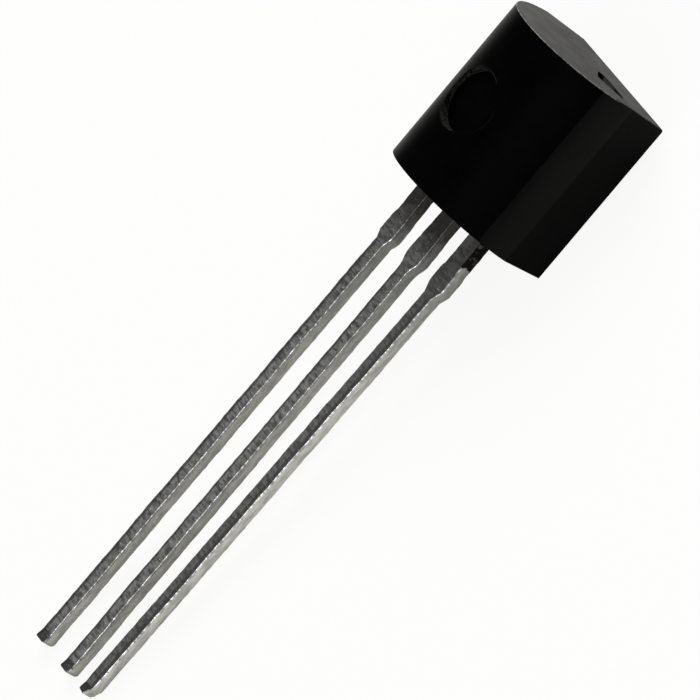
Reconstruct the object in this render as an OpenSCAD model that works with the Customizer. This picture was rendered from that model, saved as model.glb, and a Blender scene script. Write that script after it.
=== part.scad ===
// Through-hole transistor in a TO-92 case, lying on its flat and on the tips of its leads, round side up.
// The parts are drawn upright: X along the row of leads, Y towards the flat, Z towards the top of the case,
// with the case's bottom at Z = 0 and the mould's parting plane at Y = 0. laid() then lies them all down.

/* [Case] */
// width of the case across its round side, in mm
case_width = 4.5; // [3.6:0.05:5.4]
// height of the case at the parting plane, in mm
case_height = 4.79; // [3.8:0.01:5.8]
// distance from the parting plane to the flat, in mm
flat_offset = 1.3; // [1.05:0.01:1.6]
// draft of the flat side's two walls, in degrees
side_draft = 4.4; // [0:0.1:8]
// how far each end face falls away from the parting plane, in mm
end_fall = 0.055; // [0.01:0.005:0.12]

/* [Moulding marks] */
// diameter of the ejector-pin mark on the round side, in mm
ejector_diameter = 1.7; // [1.2:0.05:2.2]
// depth of the ejector-pin mark at the middle of the round side, in mm
ejector_depth = 0.3; // [0.2:0.01:0.4]
// distance of the gate scar's deep end from the case's middle, along the row, in mm
gate_start = 0.37; // [0.2:0.01:0.6]
// length of the gate scar along the row, in mm
gate_length = 1.22; // [0.9:0.01:1.4]
// width of the gate scar across the row, in mm
gate_width = 0.6; // [0.4:0.01:0.8]
// depth of the gate scar at its deep end, in mm
gate_depth = 0.17; // [0.1:0.01:0.3]

/* [Leads] */
// distance between neighbouring leads, in mm
lead_pitch = 1.27; // [1.1:0.01:1.5]
// length of the leads below the case, in mm
lead_length = 14.85; // [3:0.05:20]
// width of a lead's shaft, in mm
lead_width = 0.4; // [0.3:0.005:0.48]
// thickness of the strip that the leads are stamped from, in mm
lead_thickness = 0.335; // [0.26:0.005:0.42]
// width of a lead where it leaves the case, in mm
exit_width = 0.57; // [0.45:0.01:0.7]
// width of the cut stub of the strip's tie bar, in mm
stub_width = 0.65; // [0.5:0.01:0.8]
// distance from the case to the start of the stub, in mm
stub_start = 1.16; // [0.8:0.01:1.5]
// length of the stub along the lead, in mm
stub_length = 0.5; // [0.3:0.01:0.7]
// length of the taper from the stub to the shaft, in mm
stub_taper = 0.3; // [0.15:0.01:0.5]
// sideways lean of the emitter lead's tip, in mm
emitter_lean = -0.3; // [-0.5:0.01:0.5]
// sideways lean of the collector lead's tip, in mm
collector_lean = -0.06; // [-0.5:0.01:0.5]
// sideways lean of the base lead's tip, in mm
base_lean = -0.1; // [-0.5:0.01:0.5]

/* [Chip] */
// width of the paddle that carries the chip, in mm
paddle_width = 1.5; // [1:0.05:1.55]
// length of the paddle along the lead, in mm
paddle_length = 2.1; // [1.6:0.05:2.6]
// side of the square chip, in mm
die_side = 0.56; // [0.3:0.02:0.8]
// thickness of the chip, in mm
die_thickness = 0.18; // [0.1:0.01:0.3]
// thickness of the bond layer under the chip, in mm
attach_thickness = 0.02; // [0.01:0.005:0.04]
// diameter of the bond wires, in mm
wire_diameter = 0.05; // [0.03:0.005:0.08]

/* [Hidden] */
$fn = 96;

case_radius = case_width / 2;
flat_half = case_radius - flat_offset * tan(side_draft);
// depth of the gate scar where it ends, at its outer end
gate_shallow = 0.05;
// how far a cutter reaches past what it cuts
margin = 1;

// the leads inside the case: each shank's outline overlaps its head between these two heights
root_low = 0.2;
root_high = 0.3;
paddle_bottom = 1.5;
paddle_neck = 0.35;
paddle_top = paddle_bottom + paddle_length;
die_middle = paddle_bottom + 0.58 * paddle_length;
post_bottom = 2.0;
post_top = 2.95;
post_reach = 0.5;
post_neck = 0.25;

// ends of the leads
tip_bevel_length = 0.26;
tip_bevel_depth = 0.045;
tip_corner = 0.02;
stub_flare = 0.07;

// bond wires: a ball on the chip, a foot on the post, and a loop between them
ball_diameter = 2 * wire_diameter;
ball_height = 0.03;
foot_height = 0.02;
pad_offset = 0.14;
post_bond_x = lead_pitch + 0.02;
post_bond_z = 2.5;
loop_rise = 0.08;
loop_small = 0.12;
loop_drop = 0.06;
die_face = attach_thickness + die_thickness;
loop_top = die_face + ball_height + loop_rise + loop_small;
loop_big = loop_top - foot_height - loop_drop;
bond_dx = post_bond_x - pad_offset;
bond_dz = post_bond_z - die_middle;
bond_span = sqrt(bond_dx * bond_dx + bond_dz * bond_dz);
bond_turn = atan2(bond_dz, bond_dx);

// the part lies on the flat's edge beside the leads and on the lead tips
lie_tilt = atan(flat_offset / (lead_length + end_fall));
lie_lift = lead_length * sin(lie_tilt);
lie_front = (case_height - end_fall) * cos(lie_tilt) + flat_offset * sin(lie_tilt);
lie_back = -lead_length * cos(lie_tilt) - (lead_thickness - tip_bevel_depth) * sin(lie_tilt);
lie_middle = (lie_front + lie_back) / 2;

module laid() {
    translate([-lie_middle, 0, lie_lift])
        rotate([0, -lie_tilt, 0])
            rotate([-90, 0, 0])
                rotate([0, 90, 0])
                    children();
}

// the round side's half disc, with its straight edge on the parting plane
module round_half() {
    intersection() {
        cylinder(r = case_radius, h = case_height);
        translate([-case_radius - margin, -case_radius - margin, -margin])
            cube([2 * (case_radius + margin), case_radius + margin, case_height + 2 * margin]);
    }
}

// the flat side, with a tongue that reaches into the round side so that the two are one moulding
module flat_half_block() {
    tongue_half = 0.9 * case_radius;
    tongue_depth = 0.3 * case_radius;
    linear_extrude(height = case_height)
        polygon([
            [-case_radius, 0],
            [-tongue_half, 0],
            [-tongue_half, -tongue_depth],
            [tongue_half, -tongue_depth],
            [tongue_half, 0],
            [case_radius, 0],
            [flat_half, flat_offset],
            [-flat_half, flat_offset]
        ]);
}

// both end faces fall away from the parting plane, towards the round side and towards the flat
module drafted_ends() {
    rotate([90, 0, 90])
        linear_extrude(height = 2 * (case_radius + margin), center = true)
            polygon([
                [-case_radius, end_fall],
                [0, 0],
                [flat_offset, end_fall],
                [flat_offset, case_height - end_fall],
                [0, case_height],
                [-case_radius, case_height - end_fall]
            ]);
}

module ejector_mark() {
    translate([0, -case_radius + ejector_depth, case_height / 2])
        rotate([90, 0, 0])
            cylinder(d = ejector_diameter, h = ejector_depth + margin);
}

// a torn gate at the parting line: deepest at its inner end, with its front edge torn askew
module gate_scar() {
    floor_rise = atan((gate_depth - gate_shallow) / gate_length);
    translate([gate_start, 0, case_height - gate_depth])
        rotate([0, -floor_rise, 0])
            linear_extrude(height = margin)
                polygon([
                    [0, 0.12 * gate_width],
                    [0.37 * gate_length, -0.5 * gate_width],
                    [gate_length, 0.28 * gate_width],
                    [0.9 * gate_length, 0.5 * gate_width],
                    [0.36 * gate_length, 0.45 * gate_width],
                    [0.07 * gate_length, 0.43 * gate_width]
                ]);
}

module moulding() {
    difference() {
        intersection() {
            union() {
                round_half();
                flat_half_block();
            }
            drafted_ends();
        }
        ejector_mark();
        gate_scar();
    }
}

// turns a front outline in X and Z into a piece of the strip, with its flat-side face on the parting plane
module strip() {
    rotate([90, 0, 0])
        linear_extrude(height = lead_thickness)
            children();
}

// the sheared tip: bevelled on the round-side face, where the cutter pressed in
module tip_bevel(x) {
    translate([x, -lead_thickness, -lead_length])
        rotate([atan(tip_bevel_depth / tip_bevel_length), 0, 0])
            translate([-margin, -margin + tip_bevel_depth, -margin])
                cube([2 * margin, margin, 2 * margin]);
}

// the outline outside the case, from the bottom of the case down to the tip, for a lead whose middle is at x
module shank_outline(x, lean) {
    shaft_top = -stub_start - stub_length - stub_taper;
    w = lead_width / 2;
    polygon([
        [x - exit_width / 2, root_high],
        [x - exit_width / 2, -stub_start + stub_flare],
        [x - stub_width / 2, -stub_start],
        [x - stub_width / 2, -stub_start - stub_length],
        [x - w, shaft_top],
        [x - w + lean, -lead_length + tip_corner],
        [x - w + tip_corner + lean, -lead_length],
        [x + w - tip_corner + lean, -lead_length],
        [x + w + lean, -lead_length + tip_corner],
        [x + w, shaft_top],
        [x + stub_width / 2, -stub_start - stub_length],
        [x + stub_width / 2, -stub_start],
        [x + exit_width / 2, -stub_start + stub_flare],
        [x + exit_width / 2, root_high]
    ]);
}

module shank(x, lean) {
    difference() {
        strip() shank_outline(x, lean);
        tip_bevel(x + lean);
    }
}

// the side leads' heads inside the case, where the bond wires land; side is 1 or -1
module post(side) {
    inner = lead_pitch - exit_width / 2;
    outer = lead_pitch + exit_width / 2;
    head = lead_pitch + post_reach;
    strip()
        polygon([
            [side * inner, root_low],
            [side * outer, root_low],
            [side * outer, post_bottom - post_neck],
            [side * head, post_bottom],
            [side * head, post_top],
            [side * inner, post_top]
        ]);
}

module paddle() {
    strip()
        polygon([
            [-exit_width / 2, root_low],
            [exit_width / 2, root_low],
            [exit_width / 2, paddle_bottom - paddle_neck],
            [paddle_width / 2, paddle_bottom],
            [paddle_width / 2, paddle_top],
            [-paddle_width / 2, paddle_top],
            [-paddle_width / 2, paddle_bottom],
            [-exit_width / 2, paddle_bottom - paddle_neck]
        ]);
}

module emitter_shape() {
    shank(lead_pitch, emitter_lean);
    post(1);
}

module collector_shape() {
    shank(0, collector_lean);
    paddle();
}

module base_shape() {
    shank(-lead_pitch, base_lean);
    post(-1);
}

module die_attach_shape() {
    translate([-die_side / 2, 0, die_middle - die_side / 2])
        cube([die_side, attach_thickness, die_side]);
}

module die_shape() {
    translate([-die_side / 2, attach_thickness, die_middle - die_side / 2])
        cube([die_side, die_thickness, die_side]);
}

// a bend of the wire that starts along +Z at the origin and leaves along +X, or comes back
module wire_bend(radius) {
    translate([radius, 0, 0])
        rotate([90, 180, 0])
            rotate_extrude(angle = -90)
                translate([radius, 0])
                    circle(d = wire_diameter);
}

// a bond wire in its own plane: it rises from the ball at the origin and lands bond_span away along X
module wire_loop() {
    run_length = bond_span - loop_small - loop_big;
    cylinder(d = ball_diameter, h = ball_height);
    cylinder(d = wire_diameter, h = ball_height + loop_rise);
    translate([0, 0, ball_height + loop_rise])
        wire_bend(loop_small);
    translate([loop_small, 0, loop_top - die_face])
        rotate([0, 90, 0])
            cylinder(d = wire_diameter, h = run_length);
    translate([bond_span, 0, loop_top - loop_big - die_face])
        mirror([1, 0, 0])
            wire_bend(loop_big);
    translate([bond_span, 0, -die_face])
        cylinder(d = wire_diameter, h = loop_top - loop_big);
    translate([bond_span, 0, -die_face])
        cylinder(d = ball_diameter, h = foot_height);
}

// stands the loop on the chip, with its height along Y, and turns it towards the emitter's post
module wire_emitter_shape() {
    translate([pad_offset, die_face, die_middle])
        rotate([0, -bond_turn, 0])
            rotate([-90, 0, 0])
                wire_loop();
}

module wire_base_shape() {
    mirror([1, 0, 0])
        wire_emitter_shape();
}

module body() {
    color([0.03, 0.03, 0.035])
        laid()
            difference() {
                moulding();
                emitter_shape();
                collector_shape();
                base_shape();
                die_attach_shape();
                die_shape();
                wire_emitter_shape();
                wire_base_shape();
            }
}

module lead_emitter() {
    color([0.55, 0.55, 0.53])
        laid()
            emitter_shape();
}

module lead_collector() {
    color([0.55, 0.55, 0.53])
        laid()
            collector_shape();
}

module lead_base() {
    color([0.55, 0.55, 0.53])
        laid()
            base_shape();
}

module die_attach() {
    color([0.7, 0.68, 0.62])
        laid()
            die_attach_shape();
}

module die() {
    color([0.35, 0.36, 0.4])
        laid()
            die_shape();
}

module wire_emitter() {
    color([0.85, 0.65, 0.25])
        laid()
            wire_emitter_shape();
}

module wire_base() {
    color([0.85, 0.65, 0.25])
        laid()
            wire_base_shape();
}

body();
lead_emitter();
lead_collector();
lead_base();
die_attach();
die();
wire_emitter();
wire_base();
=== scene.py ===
import math

import bmesh
import bpy
from mathutils import Matrix, Vector


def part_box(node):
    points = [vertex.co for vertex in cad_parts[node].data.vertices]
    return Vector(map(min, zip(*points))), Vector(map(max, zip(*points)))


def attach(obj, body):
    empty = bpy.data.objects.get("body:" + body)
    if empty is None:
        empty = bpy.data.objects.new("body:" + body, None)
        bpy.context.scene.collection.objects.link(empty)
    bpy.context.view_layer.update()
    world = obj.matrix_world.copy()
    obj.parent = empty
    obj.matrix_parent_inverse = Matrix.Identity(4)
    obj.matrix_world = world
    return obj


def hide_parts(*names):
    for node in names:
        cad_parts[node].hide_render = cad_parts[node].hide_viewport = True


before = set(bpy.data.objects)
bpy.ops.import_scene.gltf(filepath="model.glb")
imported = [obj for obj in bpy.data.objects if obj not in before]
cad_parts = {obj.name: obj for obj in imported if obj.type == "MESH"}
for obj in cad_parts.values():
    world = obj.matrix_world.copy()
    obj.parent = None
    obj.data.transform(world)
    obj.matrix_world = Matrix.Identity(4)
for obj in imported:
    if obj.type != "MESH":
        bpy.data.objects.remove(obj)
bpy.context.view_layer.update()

# ---------------------------------------------------------------------------------------------
# Sizes in millimetres, in the upright frame that the pieces are shaped in: X along the row of
# leads, Y towards the flat, Z towards the top of the case, the mould's parting plane at Y = 0.
# Each piece is laid down and brought to metres once it is finished.
# ---------------------------------------------------------------------------------------------
MM = 0.001

case_low, case_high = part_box("body")
CASE_RADIUS = (case_high.y - case_low.y) / 2 / MM
CASE_HEIGHT = 4.79
FLAT_OFFSET = 1.3
SIDE_DRAFT = math.radians(4.4)
FLAT_HALF = CASE_RADIUS - FLAT_OFFSET * math.tan(SIDE_DRAFT)
# how far the end faces fall towards the flat and towards the round side, and the top's sideways lean
END_FALL = 0.055
ROUND_FALL = 0.075
TOP_SKEW = 0.006
CASE_EDGE = 0.022
SOFT_EDGE = 0.06
CASE_FACETS = 256
PIN_FACETS = 128
TOP_BAND = 0.2
PARTING_MARGIN = 0.01
CORNER_MARGIN = 0.05

EJECTOR_RADIUS = 0.85
EJECTOR_DEPTH = 0.3
FLASH_WIDTH = 0.04
FLASH_RISE = 0.02
FLASH_EDGE = 0.01
WALL_MARGIN = 0.02

GATE_START = 0.58
GATE_DEPTH = 0.17
GATE_SHALLOW = 0.05
GATE_HEIGHT = 0.8
GATE_CUTS = 9
GATE_ROUGHNESS = 0.03
GATE_REACH = 1.3
GATE_OUTLINE = ((0, -0.13), (0.5, -0.5), (1.2, -0.06), (1.1, 0.05), (0.44, 0.1), (0.07, 0.06))

LEAD_PITCH = 1.27
LEAD_LENGTH = 14.85
LEAD_WIDTH = 0.4
LEAD_THICKNESS = 0.335
LEAD_EDGE = 0.045
LEAD_ROOT = 0.25
TIP_BEVEL_LENGTH = 0.26
TIP_FLARE = 0.03
PIECES_PER_MM = 8
SHORTEST_CUT = 0.15
DENT_DEPTH = 0.006
WAVER_LENGTH = 1.6
WAVER_REACH = 0.05

# The sides are 1 for the emitter lead, 0 for the collector lead and -1 for the base lead.
LEAD_SHIFT = 0.02
LEANS = {1: -0.28, 0: -0.05, -1: -0.12}
# heights and widths down each lead, from where it leaves the case to the top of its shaft
EMITTER_STATIONS = ((-1.05, 0.59), (-1.14, 0.65), (-1.62, 0.66), (-1.9, 0.4))
COLLECTOR_STATIONS = ((-0.7, 0.58), (-1.2, 0.64), (-1.6, 0.66), (-1.94, 0.4))
BASE_STATIONS = ((-1.1, 0.54), (-1.2, 0.6), (-1.74, 0.61), (-1.97, 0.4))
# heights and low and high edges up each head, inside the case
POST_HEAD = ((1.75, -0.285, 0.285), (2.0, -0.285, 0.5), (2.95, -0.285, 0.5))
PADDLE_HEAD = ((1.15, -0.285, 0.285), (1.5, -0.75, 0.75), (3.6, -0.75, 0.75))
# cuts at each tip: how far across and up from its middle, and the way the cut faces in X and Z
EMITTER_TIP_CUTS = ((0.2, 0.3, 1, -0.62), (-0.2, 0.02, -0.1, -1))
COLLECTOR_TIP_CUTS = ((0.2, 0.08, 1, -1.1),)
BASE_TIP_CUTS = ((0.2, 0.07, 0.9, -1),)

# the strip of painted dark reflection on each lead's broad face: where its edge lies beside the lead's middle
STRIPS = {1: 0.06, 0: -0.1, -1: -0.07}
STRIP_TOP = -1.9
STRIP_START = -2

FLECK_HEIGHT = -5.33
FLECK_SHARE = 0.275
FLECK_REACH = 0.1
FLECK_RISE = 0.04

LIE_TILT = math.atan(FLAT_OFFSET / (LEAD_LENGTH + END_FALL))


def lying_down():
    """The upright frame in millimetres, turned down onto the surface and brought to the part's own frame."""
    turn = (
        Matrix.Rotation(-LIE_TILT, 4, "Y")
        @ Matrix.Rotation(math.radians(-90), 4, "X")
        @ Matrix.Rotation(math.radians(90), 4, "Y")
    )
    top_corner = turn @ Vector((0, FLAT_OFFSET, CASE_HEIGHT - END_FALL))
    tip_corner = turn @ Vector((0, 0, -LEAD_LENGTH))
    shift = Vector((case_high.x / MM - top_corner.x, 0, -tip_corner.z))
    return Matrix.Scale(MM, 4) @ Matrix.Translation(shift) @ turn


LAY = lying_down()
UPRIGHT = LAY.to_3x3().normalized()


# ---------------------------------------------------------------------------------------------
# Hand tools
# ---------------------------------------------------------------------------------------------
def deselect():
    if bpy.context.object and bpy.context.object.mode != "OBJECT":
        bpy.ops.object.mode_set(mode="OBJECT")
    bpy.ops.object.select_all(action="DESELECT")


def make_active(piece):
    deselect()
    piece.select_set(True)
    bpy.context.view_layer.objects.active = piece


def settle(piece):
    """Puts the piece's place, turn and size into its mesh."""
    make_active(piece)
    bpy.ops.object.transform_apply(location=True, rotation=True, scale=True)
    return piece


def edit(piece, mode="FACE"):
    make_active(piece)
    bpy.ops.object.mode_set(mode="EDIT")
    bpy.ops.mesh.select_mode(type=mode)


def done_editing():
    bpy.ops.object.mode_set(mode="OBJECT")


def pick(kind, test):
    """Selects the faces, edges or verts of the mesh being edited that pass the test, and nothing else."""
    mesh = bpy.context.object.data
    bm = bmesh.from_edit_mesh(mesh)
    for part in (bm.verts, bm.edges, bm.faces):
        for item in part:
            item.select = False
    bm.select_flush(False)
    for item in getattr(bm, kind):
        if test(item):
            item.select_set(True)
    bmesh.update_edit_mesh(mesh)


def cut_away(point, normal):
    """Cuts the mesh being edited with a plane, drops what lies on the normal's side, and closes the cut."""
    bpy.ops.mesh.select_all(action="SELECT")
    bpy.ops.mesh.bisect(plane_co=point, plane_no=normal, use_fill=True, clear_outer=True, threshold=1e-5)


def apply_modifiers(piece):
    make_active(piece)
    for name in [m.name for m in piece.modifiers]:
        bpy.ops.object.modifier_apply(modifier=name)


def combine(piece, other, operation, keep_other=False):
    """Cuts the other shape out of the piece, joins it on, or keeps what the two share."""
    tool = piece.modifiers.new("shape", "BOOLEAN")
    tool.operation = operation
    tool.solver = "EXACT"
    tool.object = other
    apply_modifiers(piece)
    if not keep_other:
        bpy.data.objects.remove(other)


def round_edges(piece, width, segments, angle):
    tool = piece.modifiers.new("edges", "BEVEL")
    tool.width = width
    tool.segments = segments
    tool.limit_method = "ANGLE"
    tool.angle_limit = math.radians(angle)
    tool.use_clamp_overlap = False
    apply_modifiers(piece)


def smooth(piece):
    make_active(piece)
    bpy.ops.object.shade_smooth_by_angle(angle=math.radians(40))


def even_normals(piece):
    smooth(piece)
    tool = piece.modifiers.new("normals", "WEIGHTED_NORMAL")
    tool.keep_sharp = True
    apply_modifiers(piece)


def coat_faces(piece, finishes):
    """Gives the piece its finishes, the first all over and each other one on the faces that pass its test."""
    piece.data.materials.clear()
    for material, _ in finishes:
        piece.data.materials.append(material)
    edit(piece)
    for slot, (_, test) in enumerate(finishes):
        pick("faces", test)
        bpy.context.object.active_material_index = slot
        bpy.ops.object.material_slot_assign()
    done_editing()


def finish_piece(piece, name, node):
    piece.matrix_world = LAY
    settle(piece)
    piece.name = name
    piece.data.name = name
    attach(piece, "root")
    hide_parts(node)


# ---------------------------------------------------------------------------------------------
# The moulded case
# ---------------------------------------------------------------------------------------------
def round_bar(radius, depth, middle_y):
    """A bar along Y through the middle of the round side, like the ejector pin."""
    bpy.ops.mesh.primitive_cylinder_add(
        vertices=PIN_FACETS,
        radius=radius,
        depth=depth,
        location=(0, middle_y, CASE_HEIGHT / 2),
        rotation=(math.radians(90), 0, 0),
    )
    return settle(bpy.context.object)


def ejector_flash():
    """The thin lip of epoxy that crept up round the ejector pin."""
    lip = round_bar(EJECTOR_RADIUS + FLASH_WIDTH, CASE_RADIUS, -CASE_RADIUS)
    bpy.ops.mesh.primitive_cylinder_add(
        vertices=CASE_FACETS,
        radius=CASE_RADIUS + FLASH_RISE,
        depth=4 * EJECTOR_RADIUS,
        location=(0, 0, CASE_HEIGHT / 2),
    )
    combine(lip, settle(bpy.context.object), "INTERSECT")
    return lip


def torn_gate():
    """What broke out with the gate: a pit with a rough floor, deepest at its inner end."""
    length = max(x for x, y in GATE_OUTLINE)
    bpy.ops.mesh.primitive_cube_add(
        size=1, location=(length / 2, 0, GATE_HEIGHT / 2), scale=(length, 1, GATE_HEIGHT)
    )
    gate = settle(bpy.context.object)
    edit(gate)
    bpy.ops.mesh.select_all(action="SELECT")
    bpy.ops.mesh.subdivide(number_cuts=GATE_CUTS)
    pick("faces", lambda f: f.normal.z < -0.9)
    bpy.ops.transform.vertex_random(offset=GATE_ROUGHNESS, uniform=0.6, seed=4)
    bpy.ops.transform.rotate(
        value=math.atan((GATE_DEPTH - GATE_SHALLOW) / length),
        orient_axis="Y",
        center_override=(length, 0, 0),
    )
    bpy.ops.transform.translate(value=(0, 0, -GATE_SHALLOW))
    for here, there in zip(GATE_OUTLINE, GATE_OUTLINE[1:] + GATE_OUTLINE[:1]):
        cut_away((*here, 0), (there[1] - here[1], here[0] - there[0], 0))
    bpy.ops.mesh.select_all(action="SELECT")
    bpy.ops.mesh.quads_convert_to_tris()
    bpy.ops.transform.translate(value=(GATE_START, 0, CASE_HEIGHT))
    done_editing()
    return gate


def beside_flat_at_top(edge):
    """The top edges that run from the parting plane to the flat."""
    middle = (edge.verts[0].co + edge.verts[1].co) / 2
    beside = abs(middle.x) > FLAT_HALF - CORNER_MARGIN
    return middle.z > CASE_HEIGHT - TOP_BAND and middle.y > PARTING_MARGIN and beside


def mould_case():
    spare = 1.0
    bpy.ops.mesh.primitive_cylinder_add(
        vertices=CASE_FACETS,
        radius=CASE_RADIUS,
        depth=CASE_HEIGHT + 2 * spare,
        location=(0, 0, CASE_HEIGHT / 2),
    )
    case = settle(bpy.context.object)
    edit(case)
    cut_away((0, 0, 0), (0, 1, 0))
    pick("faces", lambda f: f.normal.y > 0.99)
    bpy.ops.mesh.extrude_region_move(TRANSFORM_OT_translate={"value": (0, FLAT_OFFSET, 0)})
    bpy.ops.transform.resize(value=(FLAT_HALF / CASE_RADIUS, 1, 1), center_override=(0, FLAT_OFFSET, 0))
    for depth, fall in ((-CASE_RADIUS, ROUND_FALL), (FLAT_OFFSET, END_FALL)):
        cut_away((0, 0, CASE_HEIGHT), (TOP_SKEW, fall / depth, 1))
        cut_away((0, 0, 0), (0, fall / depth, -1))
    pick("edges", beside_flat_at_top)
    bpy.ops.mesh.bevel(offset=SOFT_EDGE, segments=3)
    done_editing()
    round_edges(case, CASE_EDGE, 3, 35)
    combine(case, ejector_flash(), "UNION")
    pin_length = 2.0
    combine(
        case,
        round_bar(EJECTOR_RADIUS, pin_length, EJECTOR_DEPTH - CASE_RADIUS - pin_length / 2),
        "DIFFERENCE",
    )
    round_edges(case, FLASH_EDGE, 2, 50)
    combine(case, torn_gate(), "DIFFERENCE")
    return case


# faces of the ejector pin's wall, which carry a painted sheen
def on_ejector_wall(face):
    middle = face.calc_center_median()
    reach = math.hypot(middle.x, middle.z - CASE_HEIGHT / 2)
    at_wall = abs(reach - EJECTOR_RADIUS) < WALL_MARGIN
    return at_wall and abs(face.normal.y) < 0.5 and middle.y < -CASE_RADIUS / 2


# faces along the top's front rim, which carry a painted highlight
def on_front_rim(face):
    rounded = 0.2 < face.normal.z < 0.9 and face.normal.y < -0.2
    return rounded and face.calc_center_median().z > CASE_HEIGHT - TOP_BAND


def on_flat_side(face):
    return face.calc_center_median().y > PARTING_MARGIN


def in_gate(face):
    middle = face.calc_center_median()
    sunk = CASE_HEIGHT - GATE_DEPTH - 0.1 < middle.z < CASE_HEIGHT - END_FALL - 0.005
    return sunk and abs(middle.y) < 1 and 0 < middle.x - GATE_START < GATE_REACH


def sealed_copy(node):
    """A closed copy of a sealed piece, in the upright frame, that presses its own room into the case."""
    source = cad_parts[node]
    copy = bpy.data.objects.new(node + "_room", source.data.copy())
    bpy.context.scene.collection.objects.link(copy)
    copy.matrix_world = LAY.inverted()
    settle(copy)
    edit(copy, "VERT")
    bpy.ops.mesh.select_all(action="SELECT")
    bpy.ops.mesh.remove_doubles(threshold=1e-4)
    done_editing()
    return copy


# ---------------------------------------------------------------------------------------------
# The leads: stamped from one strip, with the heads that sit inside the case
# ---------------------------------------------------------------------------------------------
def draw_out(dx, dz, stretch, about_x):
    """Extrudes the selected end of the strip, then widens or narrows it."""
    bpy.ops.mesh.extrude_region_move(TRANSFORM_OT_translate={"value": (dx, 0, dz)})
    bpy.ops.transform.resize(value=(stretch, 1, 1), center_override=(about_x, 0, 0))


def pick_end(sign):
    mesh = bpy.context.object.data
    end = max(sign * f.calc_center_median().z for f in bmesh.from_edit_mesh(mesh).faces)
    pick("faces", lambda f: abs(sign * f.calc_center_median().z - end) < 1e-5)


def stamp_shank(middle, lean, stations, longer):
    """The lead's outside length, drawn out downwards from where it leaves the case."""
    first_z, first_width = stations[0]
    shaft_top = stations[-1][0]
    bpy.ops.mesh.primitive_cube_add(
        size=1,
        location=(middle, -LEAD_THICKNESS / 2, (LEAD_ROOT + first_z) / 2),
        scale=(first_width, LEAD_THICKNESS, LEAD_ROOT - first_z),
    )
    lead = settle(bpy.context.object)
    edit(lead)
    pick_end(-1)
    z, width, x = first_z, first_width, middle
    tip = -LEAD_LENGTH - longer
    tip_stations = ((tip + TIP_BEVEL_LENGTH, LEAD_WIDTH), (tip, LEAD_WIDTH))
    for next_z, next_width in stations[1:] + tip_stations:
        next_x = middle + lean * max(0, shaft_top - next_z) / (shaft_top + LEAD_LENGTH)
        draw_out(next_x - x, next_z - z, next_width / width, next_x)
        z, width, x = next_z, next_width, next_x
    bpy.ops.transform.resize(
        value=(1 + TIP_FLARE / LEAD_WIDTH, 1 + TIP_FLARE / LEAD_THICKNESS, 1),
        center_override=(x, 0, 0),
    )
    bpy.ops.transform.translate(value=(0, -longer * math.tan(LIE_TILT), 0))
    return lead


def raise_head(side, middle, first_width, head):
    """The lead's inside end, drawn out upwards: its low and high edges are measured from its middle."""
    pick_end(1)
    z, low, high = LEAD_ROOT, -first_width / 2, first_width / 2
    for next_z, next_low, next_high in head:
        stretch = (next_high - next_low) / (high - low)
        shift = side * ((next_high + next_low) - (high + low)) / 2
        draw_out(shift, next_z - z, stretch, middle + side * (next_high + next_low) / 2)
        z, low, high = next_z, next_low, next_high


def cut_along():
    """Cuts the lengthwise edges outside the case into short stretches."""
    mesh = bpy.context.object.data
    spans = set()
    for e in bmesh.from_edit_mesh(mesh).edges:
        high = max(v.co.z for v in e.verts)
        low = min(v.co.z for v in e.verts)
        if high - low > SHORTEST_CUT and high < LEAD_ROOT + 0.05:
            spans.add((round(high, 4), round(low, 4)))
    for high, low in sorted(spans):
        pick(
            "edges",
            lambda e, high=high, low=low: abs(max(v.co.z for v in e.verts) - high) < 1e-3
            and abs(min(v.co.z for v in e.verts) - low) < 1e-3,
        )
        bpy.ops.mesh.subdivide(number_cuts=max(1, int((high - low) * PIECES_PER_MM)))


def outside(v):
    """Outside the case, and clear of the cut tip."""
    return -LEAD_LENGTH + 0.05 < v.co.z < -0.15


def tin_fleck(x, z):
    """A speck of tin that stands proud of the corner between the broad face and the +X side."""
    pick("verts", lambda v: math.dist(v.co, (x, -LEAD_THICKNESS, z)) < FLECK_REACH)
    bpy.ops.transform.translate(value=(FLECK_RISE, -FLECK_RISE, 0))


def unevenness(piece, seed):
    """Small dents all along the outside of the lead, and a slow sideways waver."""
    edit(piece, "VERT")
    pick("verts", outside)
    bpy.ops.transform.vertex_random(offset=DENT_DEPTH, uniform=1.0, seed=seed)
    group = piece.vertex_groups.new(name="outside")
    piece.vertex_groups.active = group
    bpy.ops.object.vertex_group_assign()
    done_editing()
    clouds = bpy.data.textures.new(piece.name + "_waver", "CLOUDS")
    clouds.noise_scale = WAVER_LENGTH
    tool = piece.modifiers.new("waver", "DISPLACE")
    tool.texture = clouds
    tool.texture_coords = "LOCAL"
    tool.direction = "X"
    tool.mid_level = 0.5
    tool.strength = WAVER_REACH
    tool.vertex_group = "outside"
    apply_modifiers(piece)
    piece.vertex_groups.clear()


def mark_strip(middle, lean, shaft_top, offset):
    """Cuts a lengthwise line into the shaft's broad faces, beside which lies a painted dark reflection."""
    pick("faces", lambda f: f.calc_center_median().z < shaft_top and abs(f.normal.y) > 0.5)
    drift = lean / (shaft_top + LEAD_LENGTH)
    bpy.ops.mesh.bisect(plane_co=(middle + offset, 0, shaft_top), plane_no=(1, 0, drift))


def form_lead(side, stations, head, tip_cuts, seed, longer=0.0, shift=0.0):
    lean = LEANS[side]
    middle = side * LEAD_PITCH + LEAD_SHIFT + shift
    lead = stamp_shank(middle, lean, stations, longer)
    raise_head(side or 1, middle, stations[0][1], head)
    cut_along()
    mark_strip(middle, lean, stations[-1][0], STRIPS[side])
    if side == -1:
        tin_fleck(middle + LEAD_WIDTH / 2 + lean * FLECK_SHARE, FLECK_HEIGHT)
    done_editing()
    unevenness(lead, seed)
    edit(lead)
    tip_x = middle + lean
    for across, up, normal_x, normal_z in tip_cuts:
        cut_away((tip_x + across, 0, up - LEAD_LENGTH - longer), (normal_x, 0, normal_z))
    done_editing()
    round_edges(lead, LEAD_EDGE, 3, 35)
    return lead


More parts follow.
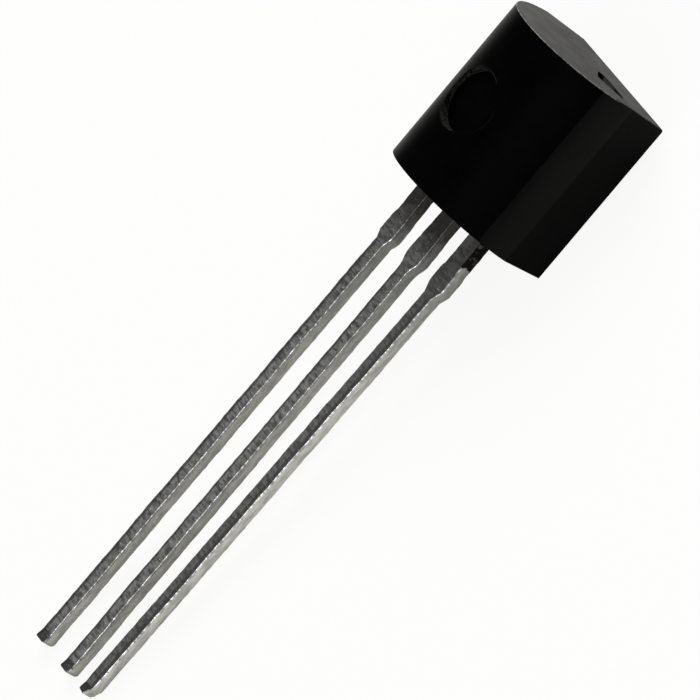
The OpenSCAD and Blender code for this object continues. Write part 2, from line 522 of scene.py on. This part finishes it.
# ---------------------------------------------------------------------------------------------
# Materials. Their patterns are in millimetres in the upright frame.
# ---------------------------------------------------------------------------------------------
def node_group(name, inputs, outputs):
    group = bpy.data.node_groups.new(name, "ShaderNodeTree")
    for label, kind, value in inputs:
        socket = group.interface.new_socket(name=label, in_out="INPUT", socket_type=kind)
        if value is not None:
            socket.default_value = value
    for label, kind in outputs:
        group.interface.new_socket(name=label, in_out="OUTPUT", socket_type=kind)
    return group, group.nodes.new("NodeGroupInput"), group.nodes.new("NodeGroupOutput")


def patches_group():
    """Soft uneven patches: 0 where the surface is clean, 1 where it is stained or dull."""
    group, given, out = node_group(
        "uneven_patches",
        [
            ("Vector", "NodeSocketVector", None),
            ("Scale", "NodeSocketFloat", 2.0),
            ("Low", "NodeSocketFloat", 0.4),
            ("High", "NodeSocketFloat", 0.6),
        ],
        [("Mask", "NodeSocketFloat")],
    )
    noise = group.nodes.new("ShaderNodeTexNoise")
    noise.inputs["Detail"].default_value = 4
    noise.inputs["Roughness"].default_value = 0.6
    spread = group.nodes.new("ShaderNodeMapRange")
    spread.interpolation_type = "SMOOTHSTEP"
    link = group.links.new
    link(given.outputs["Vector"], noise.inputs["Vector"])
    link(given.outputs["Scale"], noise.inputs["Scale"])
    link(noise.outputs["Fac"], spread.inputs["Value"])
    link(given.outputs["Low"], spread.inputs["From Min"])
    link(given.outputs["High"], spread.inputs["From Max"])
    link(spread.outputs["Result"], out.inputs["Mask"])
    return group


def ragged_edge_group():
    """1 where a coordinate is past an edge and 0 before it, with the edge wavering from place to place."""
    group, given, out = node_group(
        "ragged_edge",
        [
            ("Vector", "NodeSocketVector", None),
            ("Along", "NodeSocketFloat", 0.0),
            ("Edge", "NodeSocketFloat", 0.0),
            ("Softness", "NodeSocketFloat", 0.1),
            ("Waver", "NodeSocketFloat", 0.3),
        ],
        [("Mask", "NodeSocketFloat")],
    )
    link = group.links.new
    noise = group.nodes.new("ShaderNodeTexNoise")
    noise.inputs["Scale"].default_value = 4.0
    noise.inputs["Detail"].default_value = 3
    link(given.outputs["Vector"], noise.inputs["Vector"])
    centred = group.nodes.new("ShaderNodeMath")
    centred.operation = "SUBTRACT"
    centred.inputs[1].default_value = 0.5
    link(noise.outputs["Fac"], centred.inputs[0])
    moved = group.nodes.new("ShaderNodeMath")
    moved.operation = "MULTIPLY_ADD"
    link(centred.outputs["Value"], moved.inputs[0])
    link(given.outputs["Waver"], moved.inputs[1])
    link(given.outputs["Along"], moved.inputs[2])
    past = group.nodes.new("ShaderNodeMath")
    past.operation = "SUBTRACT"
    link(moved.outputs["Value"], past.inputs[0])
    link(given.outputs["Edge"], past.inputs[1])
    share = group.nodes.new("ShaderNodeMath")
    share.operation = "DIVIDE"
    link(past.outputs["Value"], share.inputs[0])
    link(given.outputs["Softness"], share.inputs[1])
    half = group.nodes.new("ShaderNodeMath")
    half.operation = "ADD"
    half.use_clamp = True
    half.inputs[1].default_value = 0.5
    link(share.outputs["Value"], half.inputs[0])
    link(half.outputs["Value"], out.inputs["Mask"])
    return group


PATCHES = patches_group()
RAGGED_EDGE = ragged_edge_group()


class Finish:
    """A material being mixed, with the helpers that its recipes share."""

    def __init__(self, name):
        self.material = bpy.data.materials.new(name)
        self.material.use_nodes = True
        self.nodes = self.material.node_tree.nodes
        self.link = self.material.node_tree.links.new
        self.shader = self.nodes["Principled BSDF"]
        where = self.nodes.new("ShaderNodeTexCoord")
        upright = self.nodes.new("ShaderNodeMapping")
        upright.vector_type = "TEXTURE"
        upright.inputs["Location"].default_value = LAY.translation
        upright.inputs["Rotation"].default_value = UPRIGHT.to_euler()
        upright.inputs["Scale"].default_value = (MM, MM, MM)
        self.link(where.outputs["Object"], upright.inputs["Vector"])
        self.place = upright.outputs["Vector"]
        self.split = self.nodes.new("ShaderNodeSeparateXYZ")
        self.link(self.place, self.split.inputs["Vector"])

    def stretched(self, x, y, z):
        pull = self.nodes.new("ShaderNodeMapping")
        pull.inputs["Scale"].default_value = (x, y, z)
        self.link(self.place, pull.inputs["Vector"])
        return pull.outputs["Vector"]

    def patches(self, vector, scale, low=0.4, high=0.6):
        node = self.nodes.new("ShaderNodeGroup")
        node.node_tree = PATCHES
        node.inputs["Scale"].default_value = scale
        node.inputs["Low"].default_value = low
        node.inputs["High"].default_value = high
        self.link(vector, node.inputs["Vector"])
        return node.outputs["Mask"]

    def past_edge(self, axis, edge, softness, waver):
        node = self.nodes.new("ShaderNodeGroup")
        node.node_tree = RAGGED_EDGE
        node.inputs["Edge"].default_value = edge
        node.inputs["Softness"].default_value = softness
        node.inputs["Waver"].default_value = waver
        self.link(self.place, node.inputs["Vector"])
        self.link(self.split.outputs[axis], node.inputs["Along"])
        return node.outputs["Mask"]

    def value(self, operation, a, b):
        node = self.nodes.new("ShaderNodeMath")
        node.operation = operation
        for socket, given in zip(node.inputs, (a, b)):
            if isinstance(given, (int, float)):
                socket.default_value = given
            else:
                self.link(given, socket)
        return node.outputs["Value"]

    def blend(self, mask, clean, stained):
        mix = self.nodes.new("ShaderNodeMix")
        mix.data_type = "RGBA"
        self.link(mask, mix.inputs["Factor"])
        for label, given in (("A", clean), ("B", stained)):
            socket = [s for s in mix.inputs if s.name == label and s.type == "RGBA"][0]
            if isinstance(given, tuple):
                socket.default_value = (*given, 1)
            else:
                self.link(given, socket)
        return [s for s in mix.outputs if s.type == "RGBA"][0]

    def spread(self, mask, low, high):
        node = self.nodes.new("ShaderNodeMapRange")
        node.inputs["To Min"].default_value = low
        node.inputs["To Max"].default_value = high
        self.link(mask, node.inputs["Value"])
        return node.outputs["Result"]

    def noise(self, vector, scale, detail=3):
        node = self.nodes.new("ShaderNodeTexNoise")
        node.inputs["Scale"].default_value = scale
        node.inputs["Detail"].default_value = detail
        self.link(vector, node.inputs["Vector"])
        return node.outputs["Fac"]

    def bump(self, height, depth_mm):
        node = self.nodes.new("ShaderNodeBump")
        node.inputs["Distance"].default_value = depth_mm * MM
        self.link(height, node.inputs["Height"])
        self.link(node.outputs["Normal"], self.shader.inputs["Normal"])


def moulded_epoxy(name, gloss, rough, grain_depth):
    """Black moulding epoxy as one face of the mould left it."""
    mix = Finish(name)
    mix.shader.inputs["Specular IOR Level"].default_value = gloss
    cloudy = mix.patches(mix.place, 1.3, 0.35, 0.65)
    colour = mix.blend(cloudy, (0.0006, 0.0006, 0.0007), (0.001, 0.001, 0.001))
    mix.link(colour, mix.shader.inputs["Base Color"])
    mix.link(mix.spread(cloudy, rough, rough + 0.06), mix.shader.inputs["Roughness"])
    mix.bump(mix.noise(mix.place, 22), grain_depth)
    return mix.material


def bare_epoxy(name, light, dark):
    """Epoxy without its moulded skin, where the gate broke out: matt, rough and a little paler. On the
    ejector wall and the top's front rim the same finish is a painted sheen and a painted highlight.
    """
    mix = Finish(name)
    mix.shader.inputs["Specular IOR Level"].default_value = 0.1
    mix.shader.inputs["Roughness"].default_value = 0.6
    flecks = mix.patches(mix.place, 9, 0.42, 0.58)
    mix.link(mix.blend(flecks, dark, light), mix.shader.inputs["Base Color"])
    mix.bump(mix.noise(mix.place, 14), 0.03)
    return mix.material


EMITTER_ONLY = 0.65
# the grey the leads turn towards the case
GREY_TOWARDS_CASE = (0.16, 0.16, 0.155)
EMITTER_GREY = (0.2, 0.2, 0.19)
# the cut end's duller metal together with painted shade on the tip's facet
TIP_DULL_AND_SHADE_GREY = (0.1, 0.1, 0.095)
FILM_BLACK = (0.008, 0.006, 0.004)


def tinned(name, clean, dull, rough, ripple_depth, patch_stretch, stain_and_shade, tip=0.0, flash=False):
    """Tin plating, greyer towards the case, and darker beside it with tarnish and painted shade: tip darkens
    the cut end with its duller metal and painted shade on its facet, and flash lays the black film of epoxy
    on the emitter lead's side, beside its exit."""
    mix = Finish(name)
    cloudy = mix.patches(mix.stretched(*patch_stretch), 9, 0.38, 0.62)
    colour = mix.blend(cloudy, clean, dull)
    on_emitter = mix.past_edge("X", EMITTER_ONLY, softness=0.01, waver=0.0)
    # greyer towards the case
    towards_case = mix.spread(mix.past_edge("Z", -3.5, softness=4.5, waver=1.0), 0.0, 0.5)
    colour = mix.blend(towards_case, colour, GREY_TOWARDS_CASE)
    # darker beside the case: tarnish, and painted shade from the case
    near_case = mix.past_edge("Z", -1.15, softness=0.9, waver=0.9)
    tarnish = mix.patches(mix.place, 3.5, 0.25, 0.55)
    stained = mix.value("MULTIPLY", near_case, mix.spread(tarnish, 0.75, 1.0))
    if flash:
        stained = mix.value("MULTIPLY", stained, mix.spread(on_emitter, 1.0, 0.15))
        colour = mix.blend(mix.spread(on_emitter, 0.4, 0.0), colour, EMITTER_GREY)
    else:
        stained = mix.value("MULTIPLY", stained, mix.spread(on_emitter, 1.0, 0.35))
        colour = mix.blend(mix.spread(on_emitter, 0.0, 0.4), colour, EMITTER_GREY)
    colour = mix.blend(stained, colour, stain_and_shade)
    # darker at the cut end: its duller metal, and painted shade on the tip's facet
    if tip:
        above_tip = mix.past_edge("Z", TIP_BEVEL_LENGTH - LEAD_LENGTH, softness=0.05, waver=0.12)
        at_tip = mix.value("SUBTRACT", 1.0, above_tip)
        colour = mix.blend(mix.value("MULTIPLY", at_tip, tip), colour, TIP_DULL_AND_SHADE_GREY)
    if flash:
        on_side = mix.past_edge("X", 1.5, softness=0.01, waver=0.12)
        by_exit = mix.past_edge("Z", -0.84, softness=0.05, waver=0.5)
        film = mix.value("MULTIPLY", on_side, by_exit)
        chips = mix.patches(mix.place, 5, 0.57, 0.62)
        film = mix.value("MULTIPLY", film, mix.spread(chips, 1.0, 0.87))
        colour = mix.blend(film, colour, FILM_BLACK)
    mix.link(colour, mix.shader.inputs["Base Color"])
    mix.shader.inputs["Metallic"].default_value = 1.0
    mix.link(mix.spread(cloudy, rough, rough + 0.15), mix.shader.inputs["Roughness"])
    mix.bump(mix.noise(mix.stretched(0.35, 0.35, 1), 9, 4), ripple_depth)
    return mix.material


def sealed_finish(name, clean, dull, metallic, rough, scale):
    """For what is sealed in the case: a finish with soft uneven patches."""
    mix = Finish(name)
    mix.shader.inputs["Metallic"].default_value = metallic
    mask = mix.patches(mix.place, scale)
    mix.link(mix.blend(mask, clean, dull), mix.shader.inputs["Base Color"])
    mix.link(mix.spread(mask, rough, rough + 0.15), mix.shader.inputs["Roughness"])
    return mix.material


def pale_surface():
    """Matt white board, lifted towards white where it is seen directly, so that shadows stay faint."""
    material = bpy.data.materials.new("pale_surface")
    material.use_nodes = True
    nodes, link = material.node_tree.nodes, material.node_tree.links.new
    board = nodes["Principled BSDF"]
    board.inputs["Base Color"].default_value = (0.92, 0.905, 0.85, 1)
    board.inputs["Roughness"].default_value = 0.9
    board.inputs["Specular IOR Level"].default_value = 0.1
    seen = nodes.new("ShaderNodeBsdfPrincipled")
    seen.inputs["Base Color"].default_value = (0.07, 0.07, 0.07, 1)
    seen.inputs["Roughness"].default_value = 0.9
    seen.inputs["Specular IOR Level"].default_value = 0.1
    seen.inputs["Emission Color"].default_value = (1, 1, 0.99, 1)
    seen.inputs["Emission Strength"].default_value = 0.91
    path = nodes.new("ShaderNodeLightPath")
    choose = nodes.new("ShaderNodeMixShader")
    link(path.outputs["Is Camera Ray"], choose.inputs["Fac"])
    link(board.outputs["BSDF"], choose.inputs[1])
    link(seen.outputs["BSDF"], choose.inputs[2])
    link(choose.outputs["Shader"], nodes["Material Output"].inputs["Surface"])
    return material


# ---------------------------------------------------------------------------------------------
# The object
# ---------------------------------------------------------------------------------------------
case = mould_case()
leads = {
    "lead_emitter": form_lead(1, EMITTER_STATIONS, POST_HEAD, EMITTER_TIP_CUTS, seed=3),
    "lead_collector": form_lead(
        0, COLLECTOR_STATIONS, PADDLE_HEAD, COLLECTOR_TIP_CUTS, seed=11, longer=0.03
    ),
    "lead_base": form_lead(
        -1, BASE_STATIONS, POST_HEAD, BASE_TIP_CUTS, seed=7, longer=0.065, shift=-0.025
    ),
}
SEALED = ("die", "die_attach", "wire_emitter", "wire_base")
for lead in leads.values():
    combine(case, lead, "DIFFERENCE", keep_other=True)
for node in SEALED:
    combine(case, sealed_copy(node), "DIFFERENCE")

even_normals(case)
coat_faces(
    case,
    (
        (moulded_epoxy("epoxy_round_side", 0.014, 0.3, 0.002), lambda f: True),
        (moulded_epoxy("epoxy_cheeks", 0.075, 0.3, 0.002), lambda f: abs(f.normal.x) > 0.91),
        (moulded_epoxy("epoxy_flat_side", 0.04, 0.4, 0.002), on_flat_side),
        (moulded_epoxy("epoxy_end_faces", 0.15, 0.42, 0.006), lambda f: abs(f.normal.z) > 0.8),
        # paler colour on the ejector wall: a painted sheen
        (bare_epoxy("epoxy_wall_painted_sheen", (0.026, 0.026, 0.023), (0.004, 0.004, 0.0035)), on_ejector_wall),
        (bare_epoxy("epoxy_broken_gate", (0.022, 0.022, 0.02), (0.007, 0.007, 0.006)), in_gate),
        # paler colour on the front rim: a painted highlight
        (bare_epoxy("epoxy_rim_painted_highlight", (0.24, 0.24, 0.22), (0.1, 0.1, 0.09)), on_front_rim),
    ),
)
finish_piece(case, "moulded_case", "body")

rolled = tinned(
    "tin_rolled_face",
    clean=(1, 1, 0.97),
    dull=(0.25, 0.25, 0.24),
    rough=0.2,
    ripple_depth=0.029,
    patch_stretch=(0.35, 0.35, 1),
    stain_and_shade=(0.11, 0.104, 0.095),
    tip=0.8,
)
sheared = tinned(
    "tin_sheared_side",
    clean=(0.62, 0.62, 0.6),
    dull=(0.44, 0.44, 0.43),
    rough=0.3,
    ripple_depth=0.012,
    patch_stretch=(1, 1, 0.25),
    stain_and_shade=(0.07, 0.066, 0.06),
    flash=True,
)
# brighter colour on the corner between the broad face and the +X side: a painted highlight
corner_highlight = tinned(
    "tin_corner_painted_highlight",
    clean=(1, 1, 0.98),
    dull=(0.3, 0.3, 0.29),
    rough=0.25,
    ripple_depth=0.02,
    patch_stretch=(0.3, 0.3, 1),
    stain_and_shade=(0.06, 0.056, 0.05),
    flash=True,
)
# a painted dark reflection: a darker strip along one edge of each broad face and on the -X corner
shaded = tinned(
    "tin_painted_dark_strip",
    clean=(0.4, 0.4, 0.39),
    dull=(0.16, 0.16, 0.155),
    rough=0.22,
    ripple_depth=0.029,
    patch_stretch=(0.35, 0.35, 1),
    stain_and_shade=(0.08, 0.076, 0.07),
    tip=0.8,
)
for (node, lead), side in zip(leads.items(), (1, 0, -1)):
    smooth(lead)

    def in_strip(face, side=side):
        at = face.calc_center_median()
        drift = LEANS[side] * (STRIP_TOP - at.z) / (LEAD_LENGTH + STRIP_TOP)
        across = at.x - side * LEAD_PITCH - LEAD_SHIFT - drift
        beside = across > STRIPS[side] if side == 1 else across < STRIPS[side]
        return at.z < STRIP_START and face.normal.y < -0.9 and beside

    coat_faces(
        lead,
        (
            (rolled, lambda f: True),
            (sheared, lambda f: abs(f.normal.x) > abs(f.normal.y) + 0.2),
            # the bevelled corners towards +X take the painted highlight
            (corner_highlight, lambda f: f.normal.x > 0.2 and -0.98 < f.normal.y < -0.2 and abs(f.normal.z) < 0.1),
            # the strip and the -X corner take the painted dark reflection
            (shaded, lambda f: in_strip(f) or f.normal.x < -0.2 and f.normal.y < -0.2),
        ),
    )
    finish_piece(lead, node + "_strip", node)

gold = sealed_finish("bond_wire_gold", (0.83, 0.6, 0.24), (0.7, 0.48, 0.18), 1.0, 0.2, 12)
sealed_finishes = {
    "die": sealed_finish("polished_silicon", (0.1, 0.11, 0.13), (0.16, 0.17, 0.2), 0.6, 0.15, 3),
    "die_attach": sealed_finish("silver_bond", (0.55, 0.53, 0.48), (0.4, 0.38, 0.34), 1.0, 0.5, 8),
    "wire_emitter": gold,
    "wire_base": gold,
}
for node in SEALED:
    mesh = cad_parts[node].data
    mesh.materials.clear()
    mesh.materials.append(sealed_finishes[node])

# ---------------------------------------------------------------------------------------------
# Surface, light and camera, in metres
# ---------------------------------------------------------------------------------------------
FLOOR_SIDE = 2.4
deselect()
bpy.ops.mesh.primitive_plane_add(size=FLOOR_SIDE, location=(0, 0, 0))
floor = bpy.context.object
floor.name = "pale_surface"
floor.data.materials.append(pale_surface())


def softbox(name, place, side, power, tint=(1, 1, 1)):
    light = bpy.data.lights.new(name, "AREA")
    light.shape = "SQUARE"
    light.size = side
    light.energy = power
    light.color = tint
    lamp = bpy.data.objects.new(name, light)
    lamp.location = place
    lamp.rotation_mode = "QUATERNION"
    lamp.rotation_quaternion = (-Vector(place)).to_track_quat("-Z", "Y")
    bpy.context.scene.collection.objects.link(lamp)


softbox("softbox_top_end", (0.27, 0.2, 0.27), 0.3, 1.9)
softbox("softbox_lead_end", (-0.32, -0.22, 0.28), 0.3, 0.9)
softbox("softbox_near_side", (-0.12, -0.36, 0.32), 0.42, 0.5, (0.95, 0.98, 1))

world = bpy.data.worlds.new("dim_room")
bpy.context.scene.world = world
world.use_nodes = True
world.node_tree.nodes["Background"].inputs["Color"].default_value = (0.17, 0.17, 0.17, 1)
bpy.context.scene.view_settings.view_transform = "Standard"

VIEW_TURN = math.radians(47.6)
VIEW_RISE = math.asin(0.178)
VIEW_WIDTH = 16.787
AIM_ACROSS = 0.0495
AIM_ALONG = -4.279
PICTURE_ROLL = math.radians(40.09)

upright_right = Vector((math.cos(VIEW_TURN), math.sin(VIEW_TURN), 0))
to_camera = Vector(
    (
        math.sin(VIEW_TURN) * math.cos(VIEW_RISE),
        -math.cos(VIEW_TURN) * math.cos(VIEW_RISE),
        math.sin(VIEW_RISE),
    )
)
upright_up = to_camera.cross(upright_right)
aim = LAY @ (upright_right * AIM_ACROSS + upright_up * AIM_ALONG)
right = UPRIGHT @ (upright_right * math.cos(PICTURE_ROLL) + upright_up * math.sin(PICTURE_ROLL))
up = UPRIGHT @ (upright_up * math.cos(PICTURE_ROLL) - upright_right * math.sin(PICTURE_ROLL))
back = UPRIGHT @ to_camera

camera_data = bpy.data.cameras.new("camera")
camera_data.lens = 500
camera_data.sensor_width = 36
distance = VIEW_WIDTH * MM * camera_data.lens / camera_data.sensor_width
camera_data.clip_start = distance * 0.1
camera_data.clip_end = 10
camera = bpy.data.objects.new("camera", camera_data)
facing = Matrix((right, up, back)).transposed().to_4x4()
camera.matrix_world = Matrix.Translation(aim + back * distance) @ facing
bpy.context.scene.collection.objects.link(camera)
bpy.context.scene.camera = camera
